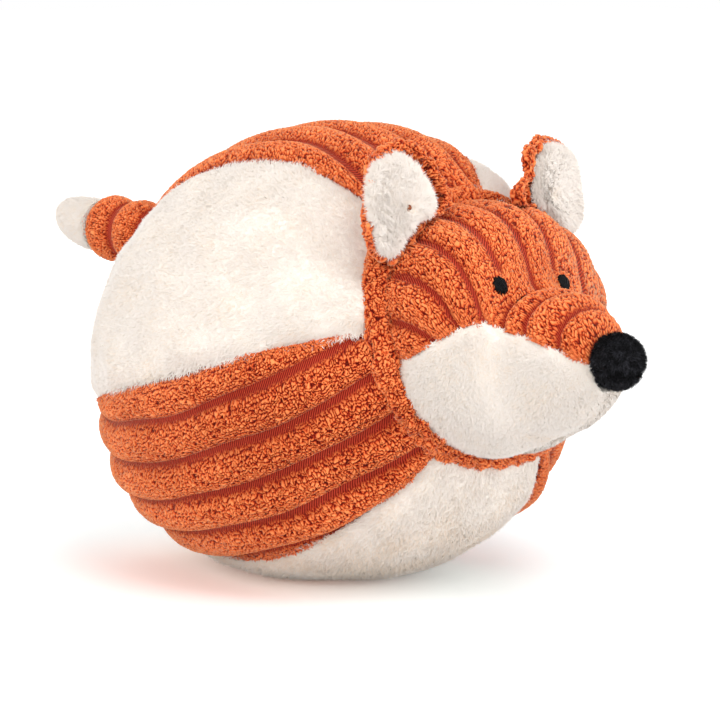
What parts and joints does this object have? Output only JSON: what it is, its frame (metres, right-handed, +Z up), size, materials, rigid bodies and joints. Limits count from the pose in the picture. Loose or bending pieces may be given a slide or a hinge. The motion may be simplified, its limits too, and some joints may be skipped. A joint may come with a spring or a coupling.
{
  "type": "plush fox",
  "caption": "Ball-shaped plush fox toy: a stuffed ball sewn from corded orange and smooth cream gores, with a fox head, soft nose, lined ears and a stubby tail.",
  "frame": {"origin": "centre of the spot the ball rests on, straight below the ball's centre, on the floor", "axes": "+Z up, -Y the way the fox looks, +X towards the fox's left side"},
  "size_m": [0.1417, 0.2526, 0.1373],
  "materials": {
    "orange_cord_plush": "broad-wale boucle cord plush",
    "cream_plush": "short brushed plush pile",
    "black_plush": "short black plush and satin-stitched thread",
    "stuffing": "loose polyester fibre fill"
  },
  "bodies": {
    "fox": {"gore_top_orange": "orange_cord_plush", "gore_right_upper_cream": "cream_plush", "gore_right_lower_orange": "orange_cord_plush", "gore_bottom_cream": "cream_plush", "gore_left_lower_orange": "orange_cord_plush", "gore_left_upper_cream": "cream_plush", "ball_stuffing": "stuffing", "neck_band": "orange_cord_plush", "head_crown": "orange_cord_plush", "snout_top": "orange_cord_plush", "cheek_right": "cream_plush", "cheek_left": "cream_plush", "head_stuffing": "stuffing", "nose": "black_plush", "eye_right": "black_plush", "eye_left": "black_plush"},
    "ear_right": {"ear_right_back": "orange_cord_plush", "ear_right_lining": "cream_plush"},
    "ear_left": {"ear_left_back": "orange_cord_plush", "ear_left_lining": "cream_plush"},
    "tail": {"tail_sleeve": "orange_cord_plush", "tail_tip": "cream_plush", "tail_stuffing": "stuffing"}
  },
  "joints": [
    {"name": "tail_swing", "type": "hinge", "parent": "fox", "child": "tail", "pos_m": [0, 0.08167, 0.09612], "axis": [0, 0, 1], "range_deg": [-28, 28], "stiffness_Nm_per_rad": 0.03},
    {"name": "ear_right_fold", "type": "hinge", "parent": "fox", "child": "ear_right", "pos_m": [-0.02902, -0.06093, 0.10763], "axis": [0.7407, -0.1175, 0.6615], "range_deg": [-18, 25], "stiffness_Nm_per_rad": 0.03},
    {"name": "ear_left_fold", "type": "hinge", "parent": "fox", "child": "ear_left", "pos_m": [0.02902, -0.06093, 0.10763], "axis": [0.7407, 0.1175, -0.6615], "range_deg": [-18, 25], "stiffness_Nm_per_rad": 0.03}
  ]
}
